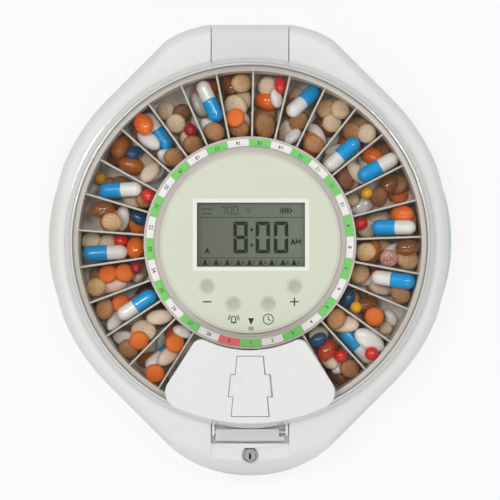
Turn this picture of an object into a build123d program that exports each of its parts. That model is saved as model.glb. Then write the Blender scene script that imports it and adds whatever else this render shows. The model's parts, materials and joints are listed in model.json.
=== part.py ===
from build123d import *
from math import acos, atan2, cos, degrees, pi, radians, sin, sqrt, tan
import os

# Automatic pill dispenser: a 29-compartment tray turns under a locking clear lid, and one
# compartment at a time comes under the small door in the lid's white plate.
#
# Millimetres, +Z up, +Y towards the lid's hinge, -Y towards the lock. Everything is drawn about
# the tray's axis and moved by AXIS_Y on saving, so that the origin lies under the middle of the
# outline, on the surface that the dispenser stands on.

# ---- casing outline -------------------------------------------------------------------------
FRONT = 112.9           # tray axis to the tip of the chin
REAR = 105.0            # tray axis to the flat rear edge
AXIS_Y = (FRONT - REAR) / 2
CASING_R = 96.95        # round part of the casing's outline
CASING_Y = 0.5          # middle of that round part, behind the tray's axis
WHITE_SIDE, WHITE_TURN = 95.6, 22.0     # white casing: half width, and half angle of its flatter side
TUB_SIDE, TUB_TURN = 98.6, 26.0         # green tub: half width, and half angle of its fuller side
SHOULDER_X = 40.3       # where the slanted rear sides meet the shoulder arcs
SHOULDER_MID = (30.0, 102.35)
NOTCH_HALF = 18.8       # half width of the hinge notch and the latch pocket
WALL = 2.4
TUB_DRAFT = 3.0         # degrees that the tub narrows downwards
TUB_EDGE = 2.0          # height of the rounding under the tub
TUB_SLANTS = ((1.2, 20.0), (0.8, 55.0))        # its two steps: height, and degrees from upright

# ---- heights --------------------------------------------------------------------------------
FLOOR_Z = 2.0           # underside of the tub
FLOOR_TOP = 4.2
WELL_Z = 14.0           # underside of the well's floor
WELL_FLOOR = 16.0
TRAY_Z = 18.0
TRAY_FLOOR = 19.5
SPLIT_Z = 24.0          # joint between the tub and the white casing
TRAY_TOP = 44.4
DECK_Z = 46.0           # top of the white casing
LID_BOTTOM = 43.7
LID_TOP = 60.0
PLATE_TOP = 61.0

# ---- well and tower -------------------------------------------------------------------------
MOUTH_R = 89.4          # round opening in the white casing
WELL_IN, WELL_OUT = 86.2, 88.6
TOWER_IN, TOWER_OUT = 41.0, 43.2
TOWER_TOP = 44.6
CHIN_START, CHIN_R, CHIN_END = 95.5, 17.0, 60.0   # chin: where its fall starts, its arc, its steepest angle

# ---- tray -----------------------------------------------------------------------------------
COMPARTMENTS = 29
PITCH = 360.0 / COMPARTMENTS
TRAY_PHASE = -1.1       # degrees that the dividers are turned from straight ahead
LABEL_PHASE = 0.5       # degrees that label 1 is turned from straight ahead
DIVIDER = 1.0
COMP_IN, COMP_OUT = 51.0, 82.5
TRAY_R, RIM_OUT = 83.6, 84.8            # outside of the tray's wall and of its top rim
HUB_IN = 49.4
LABEL_IN, LABEL_OUT = 46.2, 49.8
LABEL_Z = 45.9

# ---- gears: module 1, the tray's ring drives through a drive gear and a two-step reduction gear ---
MODULE = 1.0
PRESSURE = radians(25.0)
ADDENDUM, DEDENDUM = 0.85, 1.12
BACKLASH = 0.14
RING_TEETH, DRIVE_TEETH, SMALL_TEETH, LARGE_TEETH, PINION_TEETH = 90, 20, 12, 36, 12
GEAR_Z = 24.0
DRIVE_Y = MODULE * (RING_TEETH - DRIVE_TEETH) / 2
REDUCTION_Y = DRIVE_Y - MODULE * (DRIVE_TEETH + SMALL_TEETH) / 2
PINION_TURN = 210.0     # direction from the reduction gear to the motor pinion
PINION_REACH = MODULE * (LARGE_TEETH + PINION_TEETH) / 2
PINION_X = PINION_REACH * cos(radians(PINION_TURN))
PINION_Y = REDUCTION_Y + PINION_REACH * sin(radians(PINION_TURN))
AXLE_R, AXLE_GAP = 1.5, 0.06

# ---- lid hinge, plate, door, latch and lock --------------------------------------------------
LID_R, LID_TOP_R, LID_WALL, LID_EDGE = 88.9, 85.2, 2.0, 1.2
LUG_IN, LUG_OUT, LUG_FRONT = 17.0, 18.3, -92.4     # the lid's two lugs that hold the latch's pin
LUG_LOW, LUG_TOP = 41.4, 45.0
HINGE_Y = 99.0
BARREL_R = 6.0
HINGE_Z = DECK_Z - BARREL_R
TAB_HALF = 18.4
HINGE_PIN_R = 1.8
PLATE_IN, PLATE_OUT = 50.7, 85.4
PLATE_TURN, PLATE_INSET = 32.7, 3.15    # half angle between the plate's sides, and how far they are set in
PLATE_INNER_CORNER, PLATE_OUTER_CORNER = 4.5, 7.8
DOOR_REAR, DOOR_FRONT = -53.7, -81.9
DOOR_HALF_REAR, DOOR_HALF_FRONT = 6.0, 8.75
EAR_REAR, EAR_FRONT = -62.4, -72.6
EAR_OUT = 2.2
DOOR_GAP, HINGE_SIDE_GAP = 0.3, 0.25     # gap round the door, and what its hinge side has more
DOOR_Z, DOOR_TOP = 59.0, 60.8
LEDGE_TOP, LEDGE = 58.9, 0.8            # the ledge that the door's edge rests over
SCOOP_R, SCOOP_DEPTH = 14.0, 0.9        # finger scoop in the door
KNUCKLE_R, DOOR_PIN_R = 1.0, 0.5
KNUCKLE_OUT = 1.5       # door edge to hinge axis
KNUCKLE_Z = PLATE_TOP - KNUCKLE_R
POCKET_FRONT = -96.2    # front wall of the latch pocket
POCKET_FLOOR = 40.8
LATCH_HALF, LATCH_REAR, LATCH_FRONT = 16.5, -89.3, -95.3
LATCH_Z, LATCH_TOP = 41.8, 44.4
LATCH_PIN_Y, LATCH_PIN_Z, LATCH_PIN_R = -90.8, 43.0, 0.8
SPRING_X, SPRING_FRONT = 15.4, -93.0    # middle of the latch's spring, and the front of its slot
RIBS, RIB_STEP, RIB_HALF, RIB_RISE = 7, 1.9, 0.4, 0.35     # finger ribs on the latch, counted from its middle
TONGUE_HALF, TONGUE_OUT = 6.0, 0.55     # tongue that catches under the pocket's front wall
LOCK_Y, LOCK_R, PLUG_R, LOCK_LENGTH = -102.3, 3.85, 2.8, 13.0
LOCK_TILT = 25.0

# ---- console --------------------------------------------------------------------------------
CONSOLE_R, CONSOLE_TOP, CONSOLE_UNDER = 42.4, 49.5, 47.5
SKIRT_R, SKIRT_TOP = 43.8, 45.9
OVERLAY_R, OVERLAY_TOP = 42.2, 50.0
PCB_Z, PCB_R = 43.0, 40.4
LCD_X = (-25.3, 26.2)
LCD_Y = (-11.5, 19.1)
BUTTON_R, BUTTON_GAP = 3.35, 0.25
DISH_R, DISH_DEPTH = 9.8, 0.5           # hollow in each key
BUTTONS = {"minus": (-20.8, -20.8), "alarm": (-8.4, -29.1), "clock": (8.4, -29.1), "plus": (20.8, -20.8)}
CONSOLE_BOSSES = [(-33.2, 16.0), (33.2, 16.0), (-31.5, -18.6), (31.5, -18.6)]

# ---- batteries and fasteners -----------------------------------------------------------------
CELL_R, CELL_LENGTH, CELL_STEP, CELLS = 7.2, 50.0, 14.7, 4
CELL_Z = 12.6
BOX_HALF_X, BOX_HALF_Y, BOX_WALL, BOX_TOP, BOX_CORNER = 30.7, 28.8, 1.0, 21.0, 3.0
DOOR_HALF_X, DOOR_HALF_Y = 29.4, 27.4
BATTERY_HINGE_Y, BATTERY_HINGE_Z = -DOOR_HALF_Y + 1.2, 3.1
FEET = [(56.0, 56.0), (-56.0, 56.0), (56.0, -56.0), (-56.0, -56.0), (0.0, -97.0), (0.0, 92.0)]
FOOT_R, FOOT_RECESS = 7.0, 0.6
SCREWS = [(64.7, 64.7), (-64.7, 64.7), (64.7, -64.7), (-64.7, -64.7), (29.0, -96.5), (-29.0, -96.5),
          (29.5, 95.5), (-29.5, 95.5)]
BOSS_R, SCREW_R, HEAD_R = 2.8, 1.3, 2.2
POSTS = [(47.0, 47.0), (-47.0, 47.0), (47.0, -47.0), (-47.0, -47.0)]

NODES = {}


# ---- small helpers ---------------------------------------------------------------------------
def prism(face, low, high):
    """A face in plan raised from one height to another."""
    return Pos(0, 0, low) * extrude(face, high - low)


def disc(radius, low, high, x=0.0, y=0.0):
    return prism(Pos(x, y) * Circle(radius), low, high)


def ring(inner, outer, low, high):
    return prism(Circle(outer) - Circle(inner), low, high)


def block(x0, x1, y0, y1, z0, z1):
    return Pos((x0 + x1) / 2, (y0 + y1) / 2, (z0 + z1) / 2) * Box(x1 - x0, y1 - y0, z1 - z0)


def rod_x(radius, x0, x1, y, z):
    """A round bar along X."""
    return Pos((x0 + x1) / 2, y, z) * Rot(0, 90, 0) * Cylinder(radius, x1 - x0)


def polygon(points):
    return make_face(Polyline(*points, close=True))


def turned(points):
    """The solid that a closed outline of radius and height points sweeps about the tray's axis."""
    return revolve(Plane.XZ * polygon(points), Axis.Z)


def solids(pieces):
    """Separate solids kept side by side in one node."""
    return Compound([solid for piece in pieces for solid in piece.solids()])


# ---- casing ----------------------------------------------------------------------------------
def casing_plan(side, turn):
    """Plan of the casing: a rounded chin in front, a flat edge at the rear hinge, and sides that are
    an arc of their own, as wide as side, between the directions turn degrees before and behind."""
    corner = CASING_R / sqrt(2)
    front, rear = FRONT + CASING_Y, REAR - CASING_Y
    nose_r = (CASING_R * sqrt(2) - front) / (sqrt(2) - 1)
    nose_y = nose_r - front
    nose_end = (nose_r / sqrt(2), nose_y - nose_r / sqrt(2))
    nose_mid = (nose_r * sin(pi / 8), nose_y - nose_r * cos(pi / 8))
    shoulder = (SHOULDER_X, CASING_R * sqrt(2) - SHOULDER_X)
    shoulder_mid = (SHOULDER_MID[0], SHOULDER_MID[1] - CASING_Y)
    side_end = (CASING_R * cos(radians(turn)), CASING_R * sin(radians(turn)))
    between = radians((45 + turn) / 2)
    middle = (CASING_R * cos(between), CASING_R * sin(between))
    half = [ThreePointArc((0, -front), nose_mid, nose_end),
            Line(nose_end, (corner, -corner)),
            ThreePointArc((corner, -corner), (middle[0], -middle[1]), (side_end[0], -side_end[1])),
            ThreePointArc((side_end[0], -side_end[1]), (side, 0), side_end),
            ThreePointArc(side_end, middle, (corner, corner)),
            Line((corner, corner), shoulder),
            ThreePointArc(shoulder, shoulder_mid, (NOTCH_HALF, rear)),
            Line((NOTCH_HALF, rear), (0, rear))]
    return Pos(0, CASING_Y) * make_face(Curve() + half + [mirror(edge, about=Plane.YZ) for edge in half])


def tub_plan():
    return casing_plan(TUB_SIDE, TUB_TURN)


def white_plan():
    return casing_plan(WHITE_SIDE, WHITE_TURN)


def chin_envelope(inset):
    """Everything under the falling surface of the chin, moved in by an inset; it fills the rear half."""
    radius = CHIN_R - inset
    bend = radians(CHIN_END)
    start = (CHIN_START, DECK_Z - inset)
    middle = (CHIN_START + radius * sin(bend / 2), DECK_Z - CHIN_R + radius * cos(bend / 2))
    end = (CHIN_START + radius * sin(bend), DECK_Z - CHIN_R + radius * cos(bend))
    reach = FRONT + 5
    low = end[1] - (reach - end[0]) * tan(bend)
    edges = [Line((0, 0), (0, start[1])), Line((0, start[1]), start), ThreePointArc(start, middle, end),
             Line(end, (reach, low)), Line((reach, low), (reach, 0)), Line((reach, 0), (0, 0))]
    dome = revolve(Plane.XZ * make_face(Curve() + edges), Axis.Z)
    return dome + block(-FRONT, FRONT, 0, FRONT, 0, DECK_Z - inset)


def lower_housing():
    depth = SPLIT_Z - FLOOR_Z
    straight = depth - TUB_EDGE
    shell = Pos(0, 0, SPLIT_Z) * extrude(tub_plan(), -straight, taper=TUB_DRAFT)
    inset, level = straight * tan(radians(TUB_DRAFT)), SPLIT_Z - straight
    for height, slant in TUB_SLANTS:
        shell += Pos(0, 0, level) * extrude(offset(tub_plan(), -inset), -height, taper=slant)
        inset, level = inset + height * tan(radians(slant)), level - height
    hollow = extrude(offset(tub_plan(), -WALL), FLOOR_TOP - SPLIT_Z, taper=TUB_DRAFT)
    shell -= Pos(0, 0, SPLIT_Z) * hollow
    for x, y in SCREWS:
        shell += disc(BOSS_R, FLOOR_TOP, SPLIT_Z, x, y)
    for x, y in POSTS:
        shell += disc(4.0, FLOOR_TOP, WELL_Z, x, y)
    for x, y in SCREWS:
        shell -= disc(SCREW_R, FLOOR_Z - 1, SPLIT_Z, x, y)
        shell -= disc(HEAD_R, FLOOR_Z - 1, FLOOR_Z + 2.4, x, y)
    for x, y in FEET:
        shell -= disc(FOOT_R, FLOOR_Z - 1, FLOOR_Z + FOOT_RECESS, x, y)
    gap = 0.35
    wide, deep = DOOR_HALF_X + gap, DOOR_HALF_Y + gap
    shell -= block(-wide, wide, -deep, deep, 0, FLOOR_TOP + 1)
    shell -= rod_x(0.8, -DOOR_HALF_X - 3, DOOR_HALF_X + 3, BATTERY_HINGE_Y, BATTERY_HINGE_Z)
    return shell


def upper_housing():
    body = prism(white_plan(), SPLIT_Z, DECK_Z)
    body = fillet(body.edges().group_by(Axis.Z)[-1], 5.5) & chin_envelope(0.0)
    hollow = prism(offset(white_plan(), -WALL), SPLIT_Z - 1, DECK_Z) & chin_envelope(WALL)
    shell = body - hollow
    collar = ring(MOUTH_R, MOUTH_R + 2, 36.0, DECK_Z - WALL)
    pockets = (block(-NOTCH_HALF - 2.2, NOTCH_HALF + 2.2, MOUTH_R - 2, REAR, 31.0, DECK_Z)
               + block(-NOTCH_HALF - 2.2, NOTCH_HALF + 2.2, POCKET_FRONT - 2, -MOUTH_R + 8,
                       POCKET_FLOOR - 2, DECK_Z))
    bosses = solids([disc(BOSS_R, SPLIT_Z, DECK_Z - WALL, x, y) for x, y in SCREWS])
    lock_seat = lock_bar(LOCK_R + 1.8, -8.0, 2.0)
    shell += (collar + pockets + bosses + lock_seat) & body
    shell -= disc(MOUTH_R, SPLIT_Z - 1, DECK_Z + 1)
    shell -= block(-NOTCH_HALF, NOTCH_HALF, MOUTH_R - 5, REAR + 5, 33.0, DECK_Z + 1)
    shell -= block(-NOTCH_HALF, NOTCH_HALF, POCKET_FRONT, -80, POCKET_FLOOR, DECK_Z + 1)
    shell -= rod_x(HINGE_PIN_R, -NOTCH_HALF - 2.2, NOTCH_HALF + 2.2, HINGE_Y, HINGE_Z)
    shell -= scoop()
    shell -= lock_bar(LOCK_R, -LOCK_LENGTH, 5.0)
    for x, y in SCREWS:
        shell -= disc(1.1, SPLIT_Z - 1, SPLIT_Z + 12, x, y)
    return shell


def scoop():
    """Finger scoop in front of the pocket's lip; it fades out at the lock."""
    lip_r = -POCKET_FRONT + 2.1
    room = block(-NOTCH_HALF, NOTCH_HALF, -FRONT, -lip_r + 6, 0, 30)
    floor = Pos(0, -lip_r, DECK_Z - 1.9) * Rot(6, 0, 0) * Pos(0, lip_r, 0) * room
    return floor - disc(lip_r, DECK_Z - 12, DECK_Z + 20)


def rubber_feet():
    return solids([disc(FOOT_R, 0, FLOOR_Z + FOOT_RECESS, x, y) for x, y in FEET])


def housing_screws():
    low = FLOOR_Z + 0.4
    screws = []
    for x, y in SCREWS:
        screw = disc(HEAD_R - 0.1, low, FLOOR_Z + 2.4, x, y) + disc(1.1, low + 1, SPLIT_Z + 11, x, y)
        cross = block(-1.3, 1.3, -0.3, 0.3, low - 1, low + 0.8) + block(-0.3, 0.3, -1.3, 1.3, low - 1, low + 0.8)
        screws.append(screw - Pos(x, y) * cross)
    return solids(screws)


def tray_well():
    well = (ring(TOWER_IN, WELL_OUT, WELL_Z, WELL_FLOOR) + ring(WELL_IN, WELL_OUT, WELL_FLOOR, LID_BOTTOM - 0.4)
            + ring(TOWER_IN, TOWER_OUT, WELL_FLOOR, TOWER_TOP) + ring(66.0, 68.0, WELL_FLOOR, TRAY_Z - 0.3))
    window = block(-11.6, 11.6, 30, 50, GEAR_Z - 0.8, GEAR_Z + 6.0)
    return well - window


# ---- batteries -------------------------------------------------------------------------------
def box_plan(inset):
    plan = Rectangle(2 * (BOX_HALF_X - inset), 2 * (BOX_HALF_Y - inset))
    return chamfer(plan.vertices(), BOX_CORNER - inset * (2 - sqrt(2)))


def cell_places():
    return [(n - (CELLS - 1) / 2) * CELL_STEP for n in range(CELLS)]


def battery_box():
    shell = prism(box_plan(0), FLOOR_TOP, BOX_TOP) - prism(box_plan(BOX_WALL), FLOOR_TOP, BOX_TOP - BOX_WALL)
    for n in range(1, CELLS):
        x = (n - CELLS / 2) * CELL_STEP
        shell += block(x - 0.4, x + 0.4, -CELL_LENGTH / 2, CELL_LENGTH / 2, BOX_TOP - 2.6, BOX_TOP - BOX_WALL)
    return shell


def cell_bar(x, radius, y0, y1):
    return Pos(x, (y0 + y1) / 2, CELL_Z) * Rot(90, 0, 0) * Cylinder(radius, y1 - y0)


def batteries():
    """Four cells lying side by side, with each second one turned round."""
    cells = []
    for n, x in enumerate(cell_places()):
        nub = cell_bar(x, 2.75, CELL_LENGTH / 2 - 1.2, CELL_LENGTH / 2) + cell_bar(x, CELL_R, -CELL_LENGTH / 2,
                                                                                  CELL_LENGTH / 2 - 1.0)
        cells.append(nub if n % 2 else mirror(nub, about=Plane.XZ))
    return solids(cells)


def battery_springs():
    """Coil springs that press on each cell's flat end."""
    springs = []
    for n, x in enumerate(cell_places()):
        side = -1 if n % 2 else 1
        helix = Helix(pitch=0.7, height=1.9, radius=2.6)
        coil = sweep(Plane(origin=helix @ 0, z_dir=helix % 0) * Circle(0.25), path=helix)
        springs.append(Pos(x, side * (CELL_LENGTH / 2 + 0.28), CELL_Z) * Rot(-90 * side, 0, 0) * coil)
    return solids(springs)


def battery_contacts():
    inner = BOX_HALF_Y - BOX_WALL
    return solids([block(x - 4.5, x + 4.5, *sorted((side * inner, side * (inner - 0.3))), 8.0, 17.0)
                   for x in cell_places() for side in (-1, 1)])


def battery_door():
    door = block(-DOOR_HALF_X, DOOR_HALF_X, -DOOR_HALF_Y, DOOR_HALF_Y, FLOOR_Z, FLOOR_TOP)
    door -= block(-DOOR_HALF_X - 1, DOOR_HALF_X + 1, -DOOR_HALF_Y - 1, BATTERY_HINGE_Y, 0, FLOOR_TOP + 1)
    door += rod_x(1.1, -DOOR_HALF_X, DOOR_HALF_X, BATTERY_HINGE_Y, BATTERY_HINGE_Z)
    door -= rod_x(0.85, -DOOR_HALF_X - 1, DOOR_HALF_X + 1, BATTERY_HINGE_Y, BATTERY_HINGE_Z)
    grip = [block(-9, 9, y, y + 1.0, FLOOR_Z - 0.01, FLOOR_Z + 0.5) for y in (14.0, 16.5, 19.0)]
    for groove in grip:
        door -= groove
    return door


def battery_door_pins():
    """The rod that the door turns on, held at both ends in the tub's floor."""
    return rod_x(0.8, -DOOR_HALF_X - 3, DOOR_HALF_X + 3, BATTERY_HINGE_Y, BATTERY_HINGE_Z)


# ---- gears -----------------------------------------------------------------------------------
def involute(angle):
    return tan(angle) - angle


def gear_plan(teeth, tooth_at, above, below, thinning):
    """Plan of an involute gear with one tooth centred at an angle in degrees."""
    pitch_r = MODULE * teeth / 2
    base_r = pitch_r * cos(PRESSURE)
    root, tip = pitch_r - below, pitch_r + above
    half = (pi * MODULE / 2 - thinning) / (2 * pitch_r)
    start = max(base_r, root)
    steps = 5
    flank = [(start + (tip - start) * n / steps) for n in range(steps + 1)]
    flank = [(r, half + involute(PRESSURE) - involute(acos(min(1.0, base_r / r)))) for r in flank]
    if root < start:
        flank.insert(0, (root, flank[0][1]))
    points = []
    for tooth in range(teeth):
        middle = radians(tooth_at) + 2 * pi * tooth / teeth
        polar = [(r, middle - wide) for r, wide in flank] + [(r, middle + wide) for r, wide in reversed(flank)]
        points += [(r * cos(turn), r * sin(turn)) for r, turn in polar]
    return polygon(points)


def spur(teeth, tooth_at, low, high, x, y):
    gear = prism(gear_plan(teeth, tooth_at, ADDENDUM, DEDENDUM, BACKLASH / 2), low, high)
    return Pos(x, y) * gear


def tray_ring_gear():
    spaces = gear_plan(RING_TEETH, 90, DEDENDUM, ADDENDUM, -BACKLASH / 2)
    return prism(Circle(HUB_IN) - spaces, GEAR_Z - 0.5, GEAR_Z + 5.5)


def drive_gear():
    gear = spur(DRIVE_TEETH, 90, GEAR_Z, GEAR_Z + 5, 0, DRIVE_Y)
    gear -= disc(AXLE_R + AXLE_GAP, GEAR_Z - 1, GEAR_Z + 6, 0, DRIVE_Y)
    recess = Pos(0, DRIVE_Y, GEAR_Z + 4) * (Cylinder(6.8, 2.2) - Cylinder(3.2, 2.2))
    return gear - recess


def reduction_gear():
    gear = (spur(SMALL_TEETH, 90 + 180 / SMALL_TEETH, GEAR_Z, GEAR_Z + 5.5, 0, REDUCTION_Y)
            + spur(LARGE_TEETH, PINION_TURN, GEAR_Z + 5.5, GEAR_Z + 8.5, 0, REDUCTION_Y))
    gear -= disc(AXLE_R + AXLE_GAP, GEAR_Z - 1, GEAR_Z + 10, 0, REDUCTION_Y)
    recess = Pos(0, REDUCTION_Y, GEAR_Z + 8.5) * (Cylinder(14.5, 2.4) - Cylinder(4.0, 2.4))
    return gear - recess


def motor_pinion():
    tooth_at = PINION_TURN - 180 + 180 / PINION_TEETH
    pinion = spur(PINION_TEETH, tooth_at, GEAR_Z + 5.3, GEAR_Z + 8.8, PINION_X, PINION_Y)
    shaft = disc(1.0, GEAR_Z + 5.3, GEAR_Z + 10.8, PINION_X, PINION_Y)
    return pinion + shaft


def gear_axles():
    return solids([disc(AXLE_R, GEAR_Z - 1, GEAR_Z + 5.2, 0, DRIVE_Y),
                   disc(AXLE_R, GEAR_Z - 1, GEAR_Z + 9.2, 0, REDUCTION_Y)])


def gear_plate():
    """Round chassis plate across the tower, under the gears."""
    plate = disc(TOWER_IN, GEAR_Z - 2.5, GEAR_Z - 1)
    return plate - block(-11, -7, -38, -30, 0, 60)


def motor_plate():
    """Plate over the gears that carries the motor."""
    plate = disc(33.0, GEAR_Z + 9.2, GEAR_Z + 10.2, -3, 4) & disc(TOWER_IN, GEAR_Z, GEAR_Z + 12)
    plate -= disc(2.5, GEAR_Z, GEAR_Z + 12, PINION_X, PINION_Y)
    for angle in (20, 140, 260):
        x, y = -3 + 29 * cos(radians(angle)), 4 + 29 * sin(radians(angle))
        plate += disc(2.2, GEAR_Z - 1, GEAR_Z + 9.2, x, y)
    return plate


def motor():
    body = disc(12.0, GEAR_Z + 10.2, GEAR_Z + 18.2, PINION_X, PINION_Y)
    body = fillet(body.edges().group_by(Axis.Z)[-1], 1.2)
    return body - disc(1.06, GEAR_Z + 10, GEAR_Z + 11.4, PINION_X, PINION_Y)


# ---- electronics -----------------------------------------------------------------------------
def main_pcb():
    board = disc(PCB_R, PCB_Z, TOWER_TOP)
    for x, y in CONSOLE_BOSSES:
        board -= disc(1.2, PCB_Z - 1, TOWER_TOP + 1, x, y)
    return board


def tact_switches():
    return solids([block(x - 3, x + 3, y - 3, y + 3, TOWER_TOP, TOWER_TOP + 0.7) for x, y in BUTTONS.values()])


def buzzer():
    return disc(6.0, PCB_Z - 5, PCB_Z, 20, -20) - disc(1.0, PCB_Z - 6, PCB_Z - 3, 20, -20)


def index_switch():
    """Switch that feels the reduction gear's steps, with its lever."""
    body = block(10, 22.8, 20, 26, GEAR_Z + 10.2, GEAR_Z + 16.7)
    lever = block(8, 22, 19.6, 20, GEAR_Z + 11, GEAR_Z + 13)
    return body + lever


def lcd_rectangle(margin):
    width, height = LCD_X[1] - LCD_X[0] + 2 * margin, LCD_Y[1] - LCD_Y[0] + 2 * margin
    return Pos((LCD_X[0] + LCD_X[1]) / 2, (LCD_Y[0] + LCD_Y[1]) / 2) * Rectangle(width, height)


def lcd_panel():
    return prism(lcd_rectangle(2.0), 45.8, 47.3)


def display_frame():
    frame = prism(lcd_rectangle(4.0), TOWER_TOP, 47.4) - prism(lcd_rectangle(2.05), TOWER_TOP - 1, 48)
    return frame


def lcd_connector():
    y0 = LCD_Y[0] - 1.4
    return solids([block(LCD_X[0], LCD_X[1], y, y + 1.6, TOWER_TOP, 45.8) for y in (y0, LCD_Y[1] - 0.2)])


def display_window():
    return prism(lcd_rectangle(0), 47.5, OVERLAY_TOP - 0.1)


def console_housing():
    profile = [(CONSOLE_R, CONSOLE_TOP), (CONSOLE_R + 0.4, SKIRT_TOP), (SKIRT_R, SKIRT_TOP),
               (SKIRT_R, TOWER_TOP), (TOWER_IN, TOWER_TOP), (TOWER_IN, CONSOLE_UNDER - 1.5),
               (CONSOLE_R - 2.2, CONSOLE_UNDER), (0, CONSOLE_UNDER), (0, CONSOLE_TOP)]
    shell = turned(profile)
    shell -= prism(lcd_rectangle(0), 40, 60)
    for x, y in BUTTONS.values():
        shell -= disc(BUTTON_R + BUTTON_GAP, 40, 60, x, y)
    for x, y in CONSOLE_BOSSES:
        shell += disc(2.6, TOWER_TOP, CONSOLE_UNDER, x, y)
        shell -= disc(1.0, TOWER_TOP - 1, 48.2, x, y)
    return shell


def console_overlay():
    film = disc(OVERLAY_R, CONSOLE_TOP, OVERLAY_TOP) - prism(lcd_rectangle(0), 40, 60)
    for x, y in BUTTONS.values():
        film -= disc(BUTTON_R + BUTTON_GAP, 40, 60, x, y)
    return film


def console_screws():
    return solids([disc(1.9, PCB_Z - 1.2, PCB_Z, x, y) + disc(1.0, PCB_Z - 1, 48.0, x, y)
                   for x, y in CONSOLE_BOSSES])


def button(x, y):
    """Round key with a dished top and a flange that keeps it in the console."""
    under = CONSOLE_UNDER - 1.3
    key = disc(BUTTON_R, under, OVERLAY_TOP - 0.1, x, y) + disc(BUTTON_R + 0.9, under - 0.1, under + 0.7, x, y)
    dish = Pos(x, y, OVERLAY_TOP - DISH_DEPTH + DISH_R) * Sphere(DISH_R)
    return key - dish


# ---- tray ------------------------------------------------------------------------------------
def tray_floor():
    return ring(HUB_IN, TRAY_R, TRAY_Z, TRAY_FLOOR)


def tray_outer_wall():
    rim_low = TRAY_TOP - 1.4
    return turned([(COMP_OUT, TRAY_FLOOR), (TRAY_R, TRAY_FLOOR), (TRAY_R, rim_low - 0.8), (RIM_OUT, rim_low),
                   (RIM_OUT, TRAY_TOP), (COMP_OUT, TRAY_TOP)])


def tray_inner_wall():
    return turned([(HUB_IN, TRAY_FLOOR), (COMP_IN, TRAY_FLOOR), (COMP_IN, 45.2), (44.2, 45.2), (44.2, 43.9),
                   (HUB_IN, 43.9)])


def tray_dividers():
    blade = block(COMP_IN, COMP_OUT - 0.01, -DIVIDER / 2, DIVIDER / 2, TRAY_FLOOR, TRAY_TOP - 0.4)
    return solids([Rot(0, 0, 90 + TRAY_PHASE + n * PITCH) * blade for n in range(COMPARTMENTS)])


def dosage_ring():
    return ring(LABEL_IN, LABEL_OUT, 45.2, LABEL_Z)


def label(number):
    """Printed label over one compartment; number 0 is the empty home place."""
    half = radians(PITCH / 2 - 0.12)
    middle = radians(-90 + LABEL_PHASE + (number - 1) * PITCH)
    low, high = LABEL_IN + 0.1, LABEL_OUT - 0.1

    def spot(r, turn):
        return (r * cos(turn), r * sin(turn))

    edges = [ThreePointArc(spot(high, middle - half), spot(high, middle), spot(high, middle + half)),
             Line(spot(high, middle + half), spot(low, middle + half)),
             ThreePointArc(spot(low, middle + half), spot(low, middle), spot(low, middle - half)),
             Line(spot(low, middle - half), spot(high, middle - half))]
    return prism(make_face(Curve() + edges), LABEL_Z, LABEL_Z + 0.2)


# ---- lid -------------------------------------------------------------------------------------
def plate_plan():
    wedge = 120.0
    side = radians(PLATE_TURN)
    apex = -PLATE_INSET / sin(side)
    spread = wedge * tan(side)
    sector = polygon([(0, apex), (spread, apex - wedge), (-spread, apex - wedge)])
    plan = sector & (Circle(PLATE_OUT) - Circle(PLATE_IN))
    inner = [v for v in plan.vertices() if Vector(v.X, v.Y).length < PLATE_IN + 1]
    plan = fillet(inner, PLATE_INNER_CORNER)
    outer = [v for v in plan.vertices() if Vector(v.X, v.Y).length > PLATE_OUT - 0.1]
    return fillet(outer, PLATE_OUTER_CORNER)


def door_edge(y):
    """Half width of the door at a distance from the tray's axis."""
    share = (DOOR_REAR - y) / (DOOR_REAR - DOOR_FRONT)
    return DOOR_HALF_REAR + share * (DOOR_HALF_FRONT - DOOR_HALF_REAR)


def door_plan(right_out):
    """Plan of the door: a tapered leaf with an ear at each side; the right one carries the hinge."""
    leaf = polygon([(-door_edge(DOOR_REAR), DOOR_REAR), (door_edge(DOOR_REAR), DOOR_REAR),
                    (door_edge(DOOR_FRONT), DOOR_FRONT), (-door_edge(DOOR_FRONT), DOOR_FRONT)])
    left, right = EAR_OUT, right_out
    ears = polygon([(-door_edge(EAR_REAR) - left, EAR_REAR), (door_edge(EAR_REAR) + right, EAR_REAR),
                    (door_edge(EAR_FRONT) + right, EAR_FRONT), (-door_edge(EAR_FRONT) - left, EAR_FRONT)])
    return leaf + ears


def hinge_bar(radius, length):
    """A bar on the door's hinge axis, which runs beside the door's right edge."""
    lean = degrees(atan2(DOOR_HALF_FRONT - DOOR_HALF_REAR, DOOR_REAR - DOOR_FRONT))
    middle = (EAR_REAR + EAR_FRONT) / 2
    return Pos(door_edge(middle) + KNUCKLE_OUT, middle, KNUCKLE_Z) * Rot(0, 0, lean) * Rot(90, 0, 0) * Cylinder(
        radius, length)


def dispensing_plate():
    opening = offset(door_plan(KNUCKLE_OUT + KNUCKLE_R), DOOR_GAP, kind=Kind.INTERSECTION)
    opening += Pos(HINGE_SIDE_GAP, 0) * opening
    plate = prism(plate_plan(), LID_TOP, PLATE_TOP)
    plate = fillet(plate.edges().group_by(Axis.Z)[-1], 0.5)
    plate += prism(offset(plate_plan(), -1.8), LID_TOP - 2, LID_TOP)
    chute = offset(polygon([(-DOOR_HALF_REAR, DOOR_REAR), (DOOR_HALF_REAR, DOOR_REAR),
                            (DOOR_HALF_FRONT, DOOR_FRONT), (-DOOR_HALF_FRONT, DOOR_FRONT)]),
                   -LEDGE, kind=Kind.INTERSECTION)
    plate += prism(offset(chute, 1.0, kind=Kind.INTERSECTION), TRAY_TOP + 2.2, LID_TOP - 2)
    plate -= prism(chute, TRAY_TOP, LID_TOP)
    plate -= prism(opening, LEDGE_TOP, PLATE_TOP + 1)
    return plate - hinge_bar(DOOR_PIN_R, EAR_REAR - EAR_FRONT + 5)


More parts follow.
